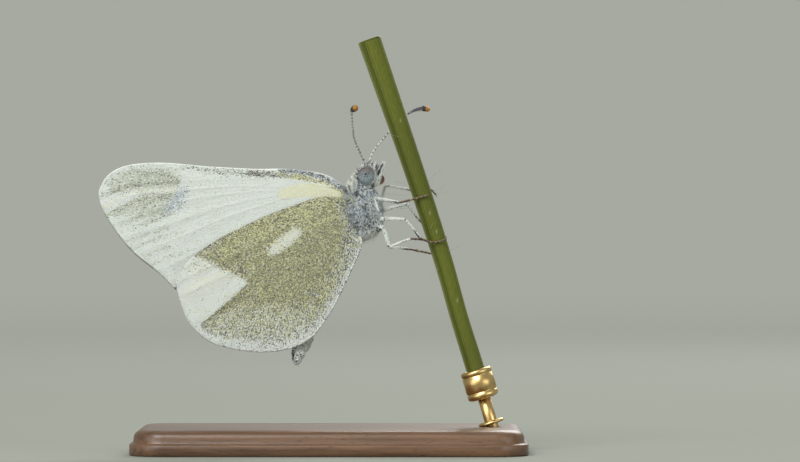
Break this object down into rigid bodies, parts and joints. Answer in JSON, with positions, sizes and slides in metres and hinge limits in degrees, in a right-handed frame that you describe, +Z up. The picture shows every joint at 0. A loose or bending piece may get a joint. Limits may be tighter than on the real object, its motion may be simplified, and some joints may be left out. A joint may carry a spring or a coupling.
{
  "type": "wood white butterfly display model",
  "caption": "Life-size butterfly with closed wings, gripping a cut grass stem that a rod and ferrule hold over a flat display base.",
  "frame": {"origin": "middle of the stand base's underside, on the floor", "axes": "+Z up, +X from the butterfly's back towards the stem it grips, -Y out of the butterfly's right side"},
  "size_m": [0.0369, 0.017, 0.0359],
  "materials": {
    "head": "blue-grey scales and pale hair over skin",
    "eyes": "glossy grey compound eyes with dark false pupils",
    "palps": "white bristles with a dark streak",
    "proboscis": "red-brown, horny, slightly glossy",
    "antenna_shafts": "banded in white and dark brown scales",
    "antenna_clubs": "grey-violet scales, a black ring and an orange tip",
    "thorax": "blue-grey scales dusted with black",
    "abdomen": "pale grey scales, dark spots along the back",
    "forewings": "white scales, grey dusting at the costa and apex",
    "hindwings": "cream-yellow scales dusted with dark grey",
    "leg_scales": "white scales with grey specks",
    "tarsi": "red-brown, jointed, slightly glossy",
    "grass_stem": "green ribbed grass, satin",
    "stand_wood": "dark stained, satin",
    "stand_brass": "satin"
  },
  "bodies": {
    "root": {"head": "head", "eye_right": "eyes", "eye_left": "eyes", "palp_right": "palps", "palp_left": "palps", "proboscis": "proboscis", "antenna_right": "antenna_shafts", "antenna_left": "antenna_shafts", "antenna_club_right": "antenna_clubs", "antenna_club_left": "antenna_clubs", "thorax": "thorax", "abdomen": "abdomen", "abdomen_tip": "abdomen", "forewing_right": "forewings", "forewing_left": "forewings", "hindwing_right": "hindwings", "hindwing_left": "hindwings", "leg_front_right_femur": "leg_scales", "leg_front_right_tibia": "leg_scales", "leg_front_right_tarsus": "tarsi", "leg_mid_right_femur": "leg_scales", "leg_mid_right_tibia": "leg_scales", "leg_mid_right_tarsus": "tarsi", "leg_hind_right_femur": "leg_scales", "leg_hind_right_tibia": "leg_scales", "leg_hind_right_tarsus": "tarsi", "leg_front_left_femur": "leg_scales", "leg_front_left_tibia": "leg_scales", "leg_front_left_tarsus": "tarsi", "leg_mid_left_femur": "leg_scales", "leg_mid_left_tibia": "leg_scales", "leg_mid_left_tarsus": "tarsi", "leg_hind_left_femur": "leg_scales", "leg_hind_left_tibia": "leg_scales", "leg_hind_left_tarsus": "tarsi", "perch_stem": "grass_stem", "stand_base": "stand_wood", "stand_rod": "stand_brass", "stand_ferrule": "stand_brass"}
  },
  "joints": []
}
